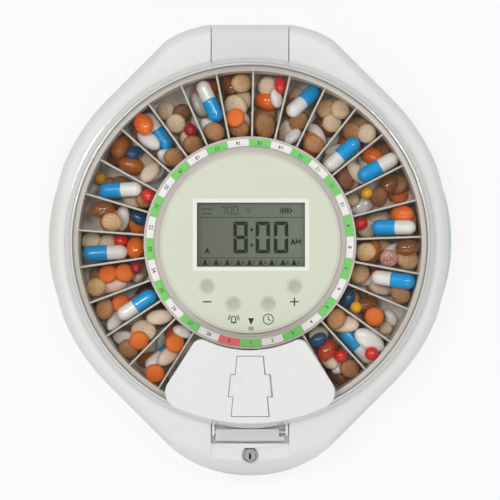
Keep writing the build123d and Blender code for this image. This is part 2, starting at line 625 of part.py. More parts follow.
def dispensing_door():
    long_ear = EAR_REAR - EAR_FRONT
    door = prism(door_plan(KNUCKLE_OUT - 0.2), DOOR_Z, DOOR_TOP)
    door += hinge_bar(KNUCKLE_R, long_ear)
    door -= hinge_bar(DOOR_PIN_R + AXLE_GAP, long_ear + 4)
    middle = (EAR_REAR + EAR_FRONT) / 2
    scoop_x = -door_edge(middle) - EAR_OUT + 2.4
    return door - Pos(scoop_x, middle, DOOR_TOP - SCOOP_DEPTH + SCOOP_R) * Sphere(SCOOP_R)


def door_hinge_pin():
    return hinge_bar(DOOR_PIN_R, EAR_REAR - EAR_FRONT + 5)


def clear_lid():
    section = polygon([(0, LID_TOP - LID_WALL), (LID_TOP_R - LID_WALL, LID_TOP - LID_WALL),
                       (LID_R - LID_WALL, LID_BOTTOM), (LID_R, LID_BOTTOM), (LID_R, DECK_Z), (LID_TOP_R, LID_TOP),
                       (0, LID_TOP)])
    top_corner = [v for v in section.vertices() if abs(v.X - LID_TOP_R) < 0.01]
    lid = revolve(Plane.XZ * fillet(top_corner, LID_EDGE), Axis.Z)
    lid -= prism(offset(plate_plan(), -1.8), LID_TOP - 4, LID_TOP + 1)
    tab = block(-TAB_HALF, TAB_HALF, 80, HINGE_Y, LID_BOTTOM - 0.1, DECK_Z)
    barrel = rod_x(BARREL_R, -TAB_HALF, TAB_HALF, HINGE_Y, HINGE_Z)
    outside = prism(Circle(120) - Circle(LID_R - 1.0), 0, 80)
    below = prism(Circle(120) - Circle(LID_R + 0.1), 0, 80)
    lid += (tab & outside) + barrel
    for inner, outer in ((-LUG_OUT, -LUG_IN), (LUG_IN, LUG_OUT)):
        lid += block(inner, outer, LUG_FRONT, -80, LUG_LOW, LUG_TOP) & below
        lid += block(inner, outer, LUG_FRONT, -80, LID_BOTTOM, LUG_TOP) & outside
    lid -= rod_x(HINGE_PIN_R + AXLE_GAP, -TAB_HALF - 1, TAB_HALF + 1, HINGE_Y, HINGE_Z)
    return lid - rod_x(LATCH_PIN_R, -LUG_OUT - 1, LUG_OUT + 1, LATCH_PIN_Y, LATCH_PIN_Z)


def lid_hinge_pins():
    inner = TAB_HALF - 9
    outer = NOTCH_HALF + 2.2
    return solids([rod_x(HINGE_PIN_R, -outer, -inner, HINGE_Y, HINGE_Z),
                   rod_x(HINGE_PIN_R, inner, outer, HINGE_Y, HINGE_Z)])


def lid_latch():
    bar = block(-LATCH_HALF, LATCH_HALF, LATCH_FRONT, LATCH_REAR, LATCH_Z, LATCH_TOP)
    bar = fillet(bar.edges().filter_by(Axis.X), 0.6)
    for n in range(-RIBS, RIBS + 1):
        x = n * RIB_STEP
        bar += block(x - RIB_HALF, x + RIB_HALF, LATCH_FRONT + 1.2, LATCH_REAR - 1.6,
                     LATCH_TOP - 0.2, LATCH_TOP + RIB_RISE)
    bar += block(-TONGUE_HALF, TONGUE_HALF, LATCH_FRONT - TONGUE_OUT, LATCH_FRONT + 1.4, LATCH_Z, LATCH_Z + 0.9)
    bar -= block(SPRING_X - 1.4, LATCH_HALF + 1, SPRING_FRONT, LATCH_REAR + 1, LATCH_Z - 1, LATCH_TOP + 1)
    return bar - rod_x(LATCH_PIN_R + AXLE_GAP, -LATCH_HALF - 1, LATCH_HALF + 1, LATCH_PIN_Y, LATCH_PIN_Z)


def latch_spring():
    """Torsion spring round the latch's pin, with one leg under the latch's end wall."""
    helix = Helix(pitch=0.6, height=2.0, radius=1.35)
    coil = sweep(Plane(origin=helix @ 0, z_dir=helix % 0) * Circle(0.22), path=helix)
    return Pos(SPRING_X - 1.0, LATCH_PIN_Y, LATCH_PIN_Z) * Rot(0, 90, 0) * coil


def latch_pin():
    return rod_x(LATCH_PIN_R, -LUG_OUT, LUG_OUT, LATCH_PIN_Y, LATCH_PIN_Z)


# ---- lock ------------------------------------------------------------------------------------
def lock_face_z():
    """Height of the chin's surface at the lock."""
    return DECK_Z - CHIN_R + sqrt(CHIN_R ** 2 - (-LOCK_Y - CHIN_START) ** 2)


def lock_bar(radius, low, high):
    """A bar on the lock's tilted axis, between two distances from its face."""
    return Pos(0, LOCK_Y, lock_face_z()) * Rot(LOCK_TILT, 0, 0) * Pos(0, 0, (low + high) / 2) * Cylinder(
        radius, high - low)


def lock_body():
    return lock_bar(LOCK_R, -LOCK_LENGTH, 0.4) - lock_bar(PLUG_R + AXLE_GAP, -LOCK_LENGTH - 1, 1.0)


def lock_nut():
    return lock_bar(5.4, -11.2, -9.4) - lock_bar(LOCK_R, -LOCK_LENGTH, 1.0)


def lock_plug():
    keyway = Pos(0, LOCK_Y, lock_face_z()) * Rot(LOCK_TILT, 0, 0) * Box(0.9, 3.6, 8.0)
    return lock_bar(PLUG_R, -LOCK_LENGTH - 1.2, 0.2) - keyway


def lock_cam():
    reach = 5.0
    arm = (Circle(3.2) + Pos(reach / 2, 0) * Rectangle(reach, 4.6) + Pos(reach, 0) * Circle(2.3)) - Circle(0.9)
    level = -LOCK_LENGTH - 2.4
    return Pos(0, LOCK_Y, lock_face_z()) * Rot(LOCK_TILT, 0, 0) * prism(arm, level, level + 1.2)


def lock_cam_screw():
    head = -LOCK_LENGTH - 3.4
    return lock_bar(1.8, head, head + 1.0) + lock_bar(0.9, head + 0.5, head + 2.2)


# ---- nodes -----------------------------------------------------------------------------------
for builder in (lower_housing, upper_housing, rubber_feet, housing_screws, tray_well,
                battery_box, batteries, battery_springs, battery_contacts, battery_door, battery_door_pins,
                drive_gear, reduction_gear, motor_pinion, gear_axles, gear_plate, motor_plate, motor,
                main_pcb, tact_switches, buzzer, index_switch, lcd_panel, display_frame, lcd_connector,
                display_window, console_housing, console_overlay, console_screws,
                tray_floor, tray_outer_wall, tray_inner_wall, tray_ring_gear, tray_dividers, dosage_ring,
                clear_lid, lid_hinge_pins, dispensing_plate, dispensing_door, door_hinge_pin,
                lid_latch, latch_pin, latch_spring, lock_body, lock_nut, lock_plug, lock_cam, lock_cam_screw):
    NODES[builder.__name__] = builder()

for name, place in BUTTONS.items():
    NODES["button_" + name] = button(*place)

NODES["dosage_label_red"] = label(0)
NODES["dosage_labels_green"] = solids([label(n) for n in range(1, COMPARTMENTS, 2)])
NODES["dosage_labels_white"] = solids([label(n) for n in range(2, COMPARTMENTS, 2)])

os.makedirs("parts", exist_ok=True)
for name, shape in NODES.items():
    export_step(Pos(0, AXIS_Y) * shape, f"parts/{name}.step")
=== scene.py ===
"""Looks of an automatic pill dispenser: moulded casing, clear lid, display, printed marks and the doses in the tray.

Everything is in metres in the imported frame: +Y towards the lid's hinge, -Y towards the lock, +Z up.
"""
import json
import math
import random

import bmesh
import bpy
import numpy as np
from mathutils import Matrix, Vector

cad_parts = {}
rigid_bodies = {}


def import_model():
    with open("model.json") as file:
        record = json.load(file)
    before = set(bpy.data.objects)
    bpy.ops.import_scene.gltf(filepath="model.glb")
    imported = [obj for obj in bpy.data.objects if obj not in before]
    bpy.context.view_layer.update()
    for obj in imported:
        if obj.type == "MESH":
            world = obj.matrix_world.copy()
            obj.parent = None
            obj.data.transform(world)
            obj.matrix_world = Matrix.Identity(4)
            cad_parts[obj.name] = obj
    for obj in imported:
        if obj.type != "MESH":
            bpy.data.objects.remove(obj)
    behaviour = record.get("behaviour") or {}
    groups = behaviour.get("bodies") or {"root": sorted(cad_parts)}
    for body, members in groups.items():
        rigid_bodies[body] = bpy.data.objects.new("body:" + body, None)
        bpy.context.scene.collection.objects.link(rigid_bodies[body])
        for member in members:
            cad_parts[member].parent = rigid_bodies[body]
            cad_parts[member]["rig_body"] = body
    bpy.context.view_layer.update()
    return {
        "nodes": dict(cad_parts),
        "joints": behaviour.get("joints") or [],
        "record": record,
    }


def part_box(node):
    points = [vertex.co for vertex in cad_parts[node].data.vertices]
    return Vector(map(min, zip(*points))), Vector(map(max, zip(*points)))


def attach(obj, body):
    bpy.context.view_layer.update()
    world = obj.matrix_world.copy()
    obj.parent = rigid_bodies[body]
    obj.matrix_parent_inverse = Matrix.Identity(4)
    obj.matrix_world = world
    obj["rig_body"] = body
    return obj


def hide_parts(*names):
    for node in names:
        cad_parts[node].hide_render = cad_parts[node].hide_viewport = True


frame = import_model()
NODES = frame["nodes"]
JOINTS = {joint["name"]: joint for joint in frame["joints"]}

MM = 0.001
TRAY_AXIS = Vector(JOINTS["tray_spin"]["pos_m"][:2]).to_3d()
RNG_SEED = 28

# ---- sizes read from the frame and the few that the printing and the doses add ----------------
COMPARTMENTS = 29
PITCH = math.tau / COMPARTMENTS
TRAY_PHASE = math.radians(-1.1)      # how far the dividers are turned from straight ahead
LABEL_PHASE = math.radians(0.5)      # how far label 1 is turned from straight ahead
COMP_IN, COMP_OUT = 51.0 * MM, 82.5 * MM
TRAY_FLOOR_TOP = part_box("tray_floor")[1].z
LABEL_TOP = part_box("dosage_label_red")[1].z
LABEL_MID_R = 48.0 * MM
OVERLAY_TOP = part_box("console_overlay")[1].z
LCD_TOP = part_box("lcd_panel")[1].z
LID_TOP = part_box("clear_lid")[1].z
LID_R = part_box("clear_lid")[1].x
INK_THICK = 0.03 * MM


# ---- shader maths ------------------------------------------------------------------------------
class Value:
    """A socket in a shader expression; each operator adds one Math node."""

    def __init__(self, finish, socket):
        self.finish, self.socket = finish, socket

    def maths(self, operation, *operands):
        return self.finish.node("Math", {"operation": operation}, *operands)

    def __add__(self, other):
        return self.maths("ADD", self, other)

    def __sub__(self, other):
        return self.maths("SUBTRACT", self, other)

    def __mul__(self, other):
        return self.maths("MULTIPLY", self, other)

    def __rsub__(self, other):
        return self.maths("SUBTRACT", other, self)

    def __truediv__(self, other):
        return self.maths("DIVIDE", self, other)

    def __pow__(self, other):
        return self.maths("POWER", self, other)

    def __lt__(self, other):
        return self.maths("LESS_THAN", self, other)

    def absolute(self):
        return self.maths("ABSOLUTE", self)

    def clamped(self):
        return self.maths("MINIMUM", self.maths("MAXIMUM", self, 0.0), 1.0)

    def part(self, index):
        """Another output of the node that this value comes from."""
        return Value(self.finish, self.socket.node.outputs[index])

    __radd__, __rmul__ = __add__, __mul__


class Finish:
    """One material; node() adds any node, sets it up and feeds its sockets."""

    def __init__(self, name):
        self.material = bpy.data.materials.new(name)
        self.material.use_nodes = True
        self.tree = self.material.node_tree
        self.tree.nodes.clear()
        self.output = self.tree.nodes.new("ShaderNodeOutputMaterial")

    def node(self, kind, settings=None, *inputs, out=0, **named):
        node = self.tree.nodes.new("ShaderNode" + kind)
        for key, value in (settings or {}).items():
            if key == "stops":
                self.set_stops(node.color_ramp, value)
            else:
                setattr(node, key, value)
        for socket, value in zip(node.inputs, inputs):
            self.feed(socket, value)
        for key, value in named.items():
            self.feed(node.inputs[key.replace("_", " ")], value)
        return Value(self, node.outputs[out])

    def feed(self, socket, value):
        if isinstance(value, Value):
            self.tree.links.new(value.socket, socket)
        elif value is not None:
            socket.default_value = value

    @staticmethod
    def set_stops(ramp, stops):
        while len(ramp.elements) < len(stops):
            ramp.elements.new(0.5)
        for element, (place, colour) in zip(ramp.elements, stops):
            element.position, element.color = place, colour

    def place(self):
        """Object coordinates, which are the frame's own metres."""
        return self.node("TexCoord", out=3)

    def about_axis(self):
        """Distance from the tray's axis, distance behind it, and height."""
        across = self.node("SeparateXYZ", None, self.place())
        behind = across.part(1) - TRAY_AXIS.y
        return (across * across + behind * behind) ** 0.5, behind, across.part(2)

    def noise(self, size, detail=3.0, roughness=0.55, vector=None):
        """Noise with features of about a size in metres."""
        return self.node("TexNoise", None, Vector=vector or self.place(), Scale=1 / size, Detail=detail,
                         Roughness=roughness)

    def mix(self, share, first, second):
        """Blend of two colours."""
        node = self.tree.nodes.new("ShaderNodeMix")
        node.data_type = "RGBA"
        for socket, value in zip((node.inputs[0], node.inputs[6], node.inputs[7]), (share, first, second)):
            self.feed(socket, value)
        return Value(self, node.outputs[2])

    def bump(self, height, strength, distance):
        return self.node("Bump", None, Strength=strength, Distance=distance, Height=height)

    def surface(self, shader):
        self.tree.links.new(shader.socket, self.output.inputs["Surface"])
        return self.material


def srgb(red, green, blue):
    """A colour given as on screen, 0 to 255, in the linear form that shaders use."""
    def linear(value):
        value /= 255
        return value / 12.92 if value <= 0.04045 else ((value + 0.055) / 1.055) ** 2.4
    return (linear(red), linear(green), linear(blue), 1.0)


def shade(colour, factor):
    return tuple(min(1.0, part * factor) for part in colour[:3]) + (1.0,)


# ---- finishes ------------------------------------------------------------------------------------
def moulded(name, colour, rough=0.38, grain=0.35, grain_size=0.35 * MM, mottle=0.03, coat=0.0, glow=0.0, **fixed):
    """Moulded plastic: a fine spark-eroded grain, faint mottling and slightly uneven gloss."""
    f = Finish(name)
    broad = f.noise(24 * MM, 2.0)
    fine = f.noise(grain_size, 2.0)
    base = f.mix(broad, shade(colour, 1 - mottle), shade(colour, 1 + mottle))
    gloss = rough + (f.noise(3 * MM, 4.0) - 0.5) * 0.16
    normal = f.bump(fine, grain, 0.02 * MM)
    return f.surface(f.node("BsdfPrincipled", None, Base_Color=base, Roughness=gloss, Normal=normal,
                            Coat_Weight=coat, Coat_Roughness=0.12, Subsurface_Weight=glow,
                            Subsurface_Radius=(2 * MM, 2 * MM, 1.6 * MM), Subsurface_Scale=1.0, **fixed))


def printed(name, colour, rough=0.45):
    """A printed film or label: an even ink layer with a paper-fine tooth."""
    f = Finish(name)
    tooth = f.noise(0.18 * MM, 2.0)
    base = f.mix(f.noise(1.6 * MM, 4.0), shade(colour, 0.97), shade(colour, 1.03))
    return f.surface(f.node("BsdfPrincipled", None, Base_Color=base, Roughness=rough + (tooth - 0.5) * 0.1,
                            Normal=f.bump(tooth, 0.15, 0.01 * MM)))


def metal(name, colour, rough=0.25, scratch=0.25, grain_size=0.12 * MM):
    """Machined or plated metal with fine turning marks and dull specks."""
    f = Finish(name)
    marks = f.noise(grain_size, 5.0, 0.7)
    stain = f.noise(2.5 * MM, 4.0)
    base = f.mix(stain, shade(colour, 0.82), shade(colour, 1.08))
    return f.surface(f.node("BsdfPrincipled", None, Base_Color=base, Metallic=1.0,
                            Roughness=(rough + (marks - 0.5) * 0.3).clamped(),
                            Normal=f.bump(marks, scratch, 0.02 * MM)))


def clear(name, tint, body, haze, edge, rough=0.06):
    """Clear plastic: seen through from in front, glossy and greyer at a slant.

    haze is how solid it looks from in front, edge how solid at a grazing slant.
    """
    f = Finish(name)
    slant = f.node("LayerWeight", None, Blend=0.5, out=1)
    cover = (haze + slant ** 3.0 * (edge - haze)).clamped()
    return f.surface(see_through(f, cover, tint, body, rough))


def see_through(f, cover, tint, body, rough):
    """Transparent where cover is 0, glossy plastic of a body colour where it is 1."""
    dust = f.noise(0.5 * MM, 4.0)
    solid = f.node("BsdfPrincipled", None, Base_Color=body, Roughness=rough + (dust - 0.5) * 0.06, IOR=1.49,
                   Specular_IOR_Level=0.6)
    through = f.node("BsdfTransparent", None, Color=tint)
    return f.node("MixShader", None, cover, through, solid)


def lid_plastic(name):
    """The lid: a clear top with a painted highlight ring on its top edge and a painted shade band just inside it, a
    more solid skirt painted lighter than the top, and a fine-frosted hinge tab.
    """
    f = Finish(name)
    radius, behind, height = f.about_axis()
    fade = 0.25 * MM
    slant = f.node("LayerWeight", None, Blend=0.5, out=1)
    top = ((height - (LID_TOP - 2.4 * MM)) / fade).clamped() * ((85.2 * MM - radius) / fade).clamped()
    # A painted highlight ring along the lid's top edge, and a painted shade band just inside it.
    rim_painted_highlight = ((radius - 83.9 * MM) / fade).clamped() * top
    band_painted_shade = ((radius - 83.1 * MM) / fade).clamped() * top
    skirt = ((radius - 85.1 * MM) / fade).clamped()
    flange = ((radius - 88.2 * MM) / fade).clamped()
    tab = ((behind - (LID_R + 0.4 * MM)) / (1.5 * MM)).clamped()
    cover = 0.008 + slant ** 4.0 * 0.25
    cover = cover + (1 - cover) * (band_painted_shade * 0.5)
    cover = cover + (1 - cover) * (rim_painted_highlight * 0.5)
    cover = cover + (1 - cover) * (skirt * (slant + flange + 0.12).clamped())
    cover = cover + (1 - cover) * (tab * 0.97)
    # The skirt is painted lighter than the top to offset its dimmer light; then the painted shade band and the painted
    # highlight ring.
    body = f.mix(skirt, srgb(214, 214, 212), srgb(230, 230, 229))
    body = f.mix(band_painted_shade, body, srgb(176, 172, 165))
    body = f.mix(rim_painted_highlight, body, srgb(240, 240, 237))
    body = f.mix(tab, body, srgb(228, 228, 227))
    return f.surface(see_through(f, cover, (0.985, 0.987, 0.985, 1), body, 0.07))


def gelatin(name, colour, rough=0.16, glow=0.15, seam=0.0):
    """Glossy capsule shell or softgel skin."""
    f = Finish(name)
    base = f.mix(f.noise(2.2 * MM, 3.0), shade(colour, 0.9), shade(colour, 1.06))
    return f.surface(f.node("BsdfPrincipled", None, Base_Color=base, Roughness=rough, Coat_Weight=0.4,
                            Coat_Roughness=0.08, Subsurface_Weight=glow, Subsurface_Scale=1.0,
                            Subsurface_Radius=(1.5 * MM, 0.8 * MM, 0.5 * MM), IOR=1.5,
                            Normal=f.bump(f.noise(1.5 * MM, 2.0), 0.08, 0.05 * MM)))


def pressed(name, colour, speck=None, specks=0.3, rough=0.6, grain=0.5):
    """Pressed or film-coated tablet: a powdery grain, with specks where it has them."""
    f = Finish(name)
    powder = f.noise(0.3 * MM, 4.0, 0.7)
    base = f.mix(f.noise(2.5 * MM, 3.0), shade(colour, 0.93), shade(colour, 1.05))
    if speck:
        spots = f.node("TexNoise", None, Vector=f.place(), Scale=1 / (0.9 * MM), Detail=4.0, Roughness=0.7)
        base = f.mix((spots < 0.42 + 0.1 * specks) * 0.75, base, speck)
    return f.surface(f.node("BsdfPrincipled", None, Base_Color=base, Roughness=rough + (powder - 0.5) * 0.2,
                            Normal=f.bump(powder, grain, 0.03 * MM)))


def amber(name, colour, through=0.6):
    """Clear softgel filled with oil."""
    f = Finish(name)
    base = f.mix(f.noise(3.5 * MM, 2.0), shade(colour, 0.8), shade(colour, 1.2))
    return f.surface(f.node("BsdfPrincipled", None, Base_Color=base, Roughness=0.1, IOR=1.42,
                            Transmission_Weight=through, Coat_Weight=0.5))


KEY_MARKS = ((-20.4, -20.8), (-8.0, -29.1), (8.7, -29.1), (21.3, -20.8))     # mm from the tray's axis
KEY_SHADE = srgb(190, 187, 175)


def key_shading(f, across, along, base):
    """Soft grey discs on the film and the keys under it."""
    for x, y in KEY_MARKS:
        right, back = across - (TRAY_AXIS.x + x * MM), along - (TRAY_AXIS.y + y * MM)
        distance = (right * right + back * back) ** 0.5
        base = f.mix(((4.3 * MM - distance) / (2.1 * MM)).clamped(), base, KEY_SHADE)
    return base


def overlay_film(name, film, border):
    """The console's printed film: pale sage with a white border round the display."""
    f = Finish(name)
    low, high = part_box("display_window")
    centre, half = (low + high) / 2, (high - low) / 2
    margin, fade = 2.2 * MM, 0.6 * MM
    across = f.node("SeparateXYZ", None, f.place())
    along = across.part(1)
    inside = (((half.x + margin - (across - centre.x).absolute()) / fade).clamped()
              * ((half.y + margin - (along - centre.y).absolute()) / fade).clamped())
    tooth = f.noise(0.25 * MM, 2.0)
    base = f.mix(f.noise(18 * MM, 2.0), shade(film, 0.985), shade(film, 1.015))
    base = f.mix(inside * 0.85, key_shading(f, across, along, base), border)
    return f.surface(f.node("BsdfPrincipled", None, Base_Color=base, Roughness=0.42 + (tooth - 0.5) * 0.08,
                            Normal=f.bump(tooth, 0.12, 0.01 * MM)))


def display_glass(name, left, right, shadow):
    """The display's ground with its light painted in: a little lighter towards the right, and the recess's shadow
    painted along its edges.
    """
    f = Finish(name)
    low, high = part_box("lcd_panel")
    across = f.node("SeparateXYZ", None, f.place())
    along = across.part(1)
    side = ((across - low.x) / (high.x - low.x)).clamped()
    base = f.mix(side, left, right)
    near_left, near_right = (across - low.x) / (6 * MM), (high.x - across) / (5 * MM)
    near_top, near_front = (high.y - along) / (5 * MM), (along - low.y) / (7 * MM)
    for near in (near_left, near_right, near_top, near_front):
        base = f.mix((1 - near.clamped()) ** 2.0 * 0.6, base, shadow)
    return f.surface(f.node("BsdfPrincipled", None, Base_Color=base, Roughness=0.6 + f.noise(1 * MM) * 0.05,
                            Specular_IOR_Level=0.15))


def matt_ink(name, colour):
    """Ink without gloss, for the display's figures."""
    f = Finish(name)
    base = f.mix(f.noise(0.8 * MM), shade(colour, 0.9), shade(colour, 1.1))
    return f.surface(f.node("BsdfPrincipled", None, Base_Color=base, Roughness=0.8, Specular_IOR_Level=0.08))


WHITE = srgb(229, 229, 228)
FINISHES = {
    "casing_white": moulded("casing_white", WHITE, rough=0.42),
    "tub_green": moulded("tub_green", srgb(205, 226, 204), rough=0.36),
    "tray_beige": moulded("tray_beige", srgb(236, 228, 217), rough=0.4, glow=0.2),
    "console_grey": moulded("console_grey", srgb(212, 207, 197), rough=0.45),
    "lid_clear": lid_plastic("lid_clear"),
    "latch_clear": clear("latch_clear", (0.97, 0.97, 0.97, 1), srgb(222, 222, 221), 0.88, 0.95, rough=0.3),
    "window_clear": clear("window_clear", (0.97, 0.98, 0.97, 1), srgb(190, 196, 180), 0.02, 0.4),
    "overlay_sage": overlay_film("overlay_sage", srgb(219, 224, 202), srgb(246, 247, 241)),
    "button_grey": moulded("button_grey", srgb(170, 171, 158), rough=0.55),
    # The display ground: painted lighter towards the right, with the recess's painted shadow at its edges.
    "lcd_grey": display_glass("lcd_grey", srgb(112, 115, 102), srgb(134, 138, 124), srgb(70, 72, 62)),
    "frame_black": moulded("frame_black", srgb(38, 38, 40), rough=0.5),
    "label_green": printed("label_green", srgb(112, 214, 96)),
    "label_white": printed("label_white", srgb(248, 244, 243)),
    "label_red": printed("label_red", srgb(248, 96, 98)),
    "steel": metal("steel", srgb(196, 196, 194)),
    "lock_chrome": metal("lock_chrome", srgb(178, 178, 176), rough=0.45, scratch=0.5, grain_size=0.5 * MM),
    "gear_white": moulded("gear_white", srgb(232, 230, 220), rough=0.45),
    "brass": metal("brass", srgb(214, 178, 98)),
    "pcb_green": moulded("pcb_green", srgb(24, 96, 54), rough=0.3),
    "rubber_grey": moulded("rubber_grey", srgb(92, 92, 92), rough=0.75, grain=0.6),
    "cell_jacket": moulded("cell_jacket", srgb(58, 62, 70), rough=0.28, grain=0.1),
}
# Painted shade: darker copies of the tray's beige, for the hub and label carrier beside the console and for the
# dividers' top edges.
HUB_BEIGE_PAINTED_SHADE = moulded("hub_beige_painted_shade", srgb(206, 200, 190), rough=0.45)
BLADE_BEIGE_PAINTED_SHADE = moulded("blade_beige_painted_shade", srgb(203, 193, 181), rough=0.35, glow=0.3)
# Painted light: a lighter, duller copy of the steel, so the latch spring doesn't read dark in its shaded pocket.
SPRING_WIRE_PAINTED_LIGHT = metal("spring_wire_painted_light", srgb(232, 232, 230), rough=0.7)
INK_DARK = matt_ink("ink_dark", srgb(52, 56, 48))
INK_SOFT = matt_ink("ink_soft", srgb(142, 143, 130))
DISPLAY_BLACK = matt_ink("display_black", srgb(24, 27, 22))
DISPLAY_GREY = matt_ink("display_grey", srgb(56, 60, 50))
DOSE_FINISHES = {
    "cap_blue": gelatin("cap_blue", srgb(0, 166, 236), rough=0.1),
    "body_white": gelatin("body_white", srgb(246, 243, 239), glow=0.1, rough=0.1),
    "orange_coat": gelatin("orange_coat", srgb(255, 118, 16), rough=0.14),
    "tangerine": pressed("tangerine", srgb(238, 118, 30)),
    "beige": pressed("beige", srgb(238, 216, 184), speck=srgb(206, 178, 146)),
    "white": gelatin("white_coat", srgb(248, 246, 242), rough=0.18, glow=0.1),
    "pink": pressed("pink", srgb(236, 212, 190), rough=0.5),
    "amber": amber("amber", srgb(244, 148, 30)),
    "amber_dark": amber("amber_dark", srgb(186, 114, 48)),
    "amber_red": amber("amber_red", srgb(236, 90, 28)),
    "brown": pressed("brown", srgb(188, 134, 84), speck=srgb(142, 94, 56)),
    "tan": pressed("tan", srgb(222, 182, 132), speck=srgb(182, 138, 96)),
    "bark": pressed("bark", srgb(150, 98, 58), speck=srgb(106, 68, 40)),
    "red": gelatin("red_coat", srgb(232, 40, 22), rough=0.14),
    "cherry": gelatin("cherry", srgb(168, 10, 26), rough=0.1),
    "yellow": gelatin("yellow_coat", srgb(248, 184, 20), rough=0.14),
    "navy": gelatin("navy", srgb(20, 74, 116), rough=0.14),
    "speckled": pressed("speckled", srgb(236, 190, 178), speck=srgb(164, 96, 88), specks=1.0),
}


# ---- carried-over nodes ---------------------------------------------------------------------------
def slot_of(node):
    return next(part["material_slot"] for part in frame["record"]["subparts"] if part["node"] == node)


for node, piece in NODES.items():
    for holder in piece.material_slots:
        holder.material = SPRING_WIRE_PAINTED_LIGHT if node == "latch_spring" else FINISHES[slot_of(node)]


def link(name, mesh):
    piece = bpy.data.objects.new(name, mesh)
    bpy.context.scene.collection.objects.link(piece)
    return piece


def finished(piece):
    """The piece with its modifiers worked into a plain mesh."""
    graph = bpy.context.evaluated_depsgraph_get()
    mesh = bpy.data.meshes.new_from_object(piece.evaluated_get(graph))
    piece.modifiers.clear()
    piece.data = mesh
    return piece


def dress(node, name, edge=0.25 * MM, angle=28):
    """A smooth-shaded copy of a node, its edges slightly rounded, which stands for the node."""
    mesh = NODES[node].data.copy()
    work = bmesh.new()
    work.from_mesh(mesh)
    bmesh.ops.remove_doubles(work, verts=work.verts, dist=2e-6)
    bmesh.ops.dissolve_limit(work, angle_limit=math.radians(0.6), verts=work.verts, edges=work.edges)
    work.to_mesh(mesh)
    work.free()
    piece = link(name, mesh)
    if edge:
        bevel = piece.modifiers.new("edge", "BEVEL")
        bevel.width, bevel.segments, bevel.limit_method = edge, 2, "ANGLE"
        bevel.angle_limit = math.radians(angle + 5)
        bevel.use_clamp_overlap = True
        bevel.harden_normals = False
        finished(piece)
    piece.data.shade_smooth()
    piece.data.set_sharp_from_angle(angle=math.radians(angle))
    weighted = piece.modifiers.new("normals", "WEIGHTED_NORMAL")
    weighted.keep_sharp = True
    finished(piece)
    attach(piece, NODES[node]["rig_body"])
    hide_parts(node)
    return piece


DRESSED = {
    "upper_housing": "white_casing", "lower_housing": "green_tub", "clear_lid": "clear_lid_shell",
    "dispensing_plate": "white_plate", "dispensing_door": "small_door", "lid_latch": "press_bar",
    "tray_outer_wall": "tray_rim", "tray_inner_wall": "tray_hub", "tray_floor": "tray_base",
    "tray_dividers": "tray_blades", "console_housing": "console_bezel", "console_overlay": "console_film",
    "dosage_ring": "label_carrier", "lock_body": "lock_barrel", "lock_plug": "lock_core",
    "button_minus": "key_minus", "button_alarm": "key_alarm", "button_clock": "key_clock",
    "button_plus": "key_plus", "tray_well": "well_bowl",
}
# The hub, the label carrier and the dividers take the darker, painted-shade copies of the tray's beige.
SPECIAL_FINISHES = {"tray_inner_wall": HUB_BEIGE_PAINTED_SHADE, "tray_dividers": BLADE_BEIGE_PAINTED_SHADE, "dosage_ring": HUB_BEIGE_PAINTED_SHADE}
FINE_EDGES = {"dispensing_plate": 0.07 * MM, "dispensing_door": 0.07 * MM}
DRESSED_PIECES = {}
for node, name in DRESSED.items():
    piece = DRESSED_PIECES[node] = dress(node, name, FINE_EDGES.get(node, 0.25 * MM))
    if node in SPECIAL_FINISHES:
        piece.data.materials[0] = SPECIAL_FINISHES[node]


def widen_key(node, reach=3.58 * MM):
    """Takes a key's cap out to the edge of its hole in the film."""
    mesh = DRESSED_PIECES[node].data
    low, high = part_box(node)
    centre = (low + high) / 2
    for vertex in mesh.vertices:
        out = (vertex.co - centre).to_2d()
        if 3.0 * MM < out.length < 3.5 * MM and vertex.co.z > low.z + 1.2 * MM:
            vertex.co.xy = centre.xy + out * (reach / out.length)
    mesh.materials[0] = FINISHES["overlay_sage"]


def ring_piece(name, inner, outer, low, high, finish, body, gaps=()):
    """A flat ring about the tray's axis, left open between pairs of angles in degrees."""
    spans = [(0.0, 360.0)]
    for start, end in gaps:
        spans = [part for a, b in spans for part in ((a, min(b, start)), (max(a, end), b)) if part[1] > part[0]]
    work = bmesh.new()
    for start, end in spans:
        steps = max(2, int((end - start) / 2))
        whole = end - start > 359.9
        rows = []
        for n in range(steps + (0 if whole else 1)):
            turn = math.radians(start + (end - start) * n / steps)
            rows.append([work.verts.new((TRAY_AXIS.x + r * math.cos(turn), TRAY_AXIS.y + r * math.sin(turn), z))
                         for r, z in ((inner, low), (outer, low), (outer, high), (inner, high))])
        pairs = list(zip(rows, rows[1:])) + ([(rows[-1], rows[0])] if whole else [])
        for row, after in pairs:
            for n in range(4):
                work.faces.new((row[n], row[(n + 1) % 4], after[(n + 1) % 4], after[n]))
        if not whole:
            work.faces.new(rows[0])
            work.faces.new(rows[-1][::-1])
    bmesh.ops.recalc_face_normals(work, faces=work.faces)
    mesh = bpy.data.meshes.new(name)
    work.to_mesh(mesh)
    work.free()
    mesh.materials.append(finish)
    mesh.shade_smooth()
    mesh.set_sharp_from_angle(angle=math.radians(30))
    piece = link(name, mesh)
    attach(piece, body)


for node in ("button_minus", "button_alarm", "button_clock", "button_plus"):
    widen_key(node)
HUB_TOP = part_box("tray_inner_wall")[1].z
DECK_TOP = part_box("upper_housing")[1].z
NOTCH_TURN = 12.2        # half angle of the hinge notch and the latch pocket, in degrees
ring_piece("bezel_lip", 43.6 * MM, 44.9 * MM, HUB_TOP + 0.25 * MM, HUB_TOP + 0.65 * MM, FINISHES["console_grey"],
           "base")
FILM_EDGE = (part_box("console_overlay")[1].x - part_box("console_overlay")[0].x) / 2
ring_piece("film_lip", FILM_EDGE - 0.3 * MM, FILM_EDGE + 1.0 * MM, OVERLAY_TOP - 0.1 * MM, OVERLAY_TOP + 0.05 * MM,
           FINISHES["console_grey"], "base")
ring_piece("lid_flange", 88.5 * MM, 89.7 * MM, DECK_TOP + 0.02 * MM, DECK_TOP + 0.2 * MM, FINISHES["lid_clear"],
           "lid", gaps=((90 - NOTCH_TURN, 90 + NOTCH_TURN), (270 - NOTCH_TURN, 270 + NOTCH_TURN)))


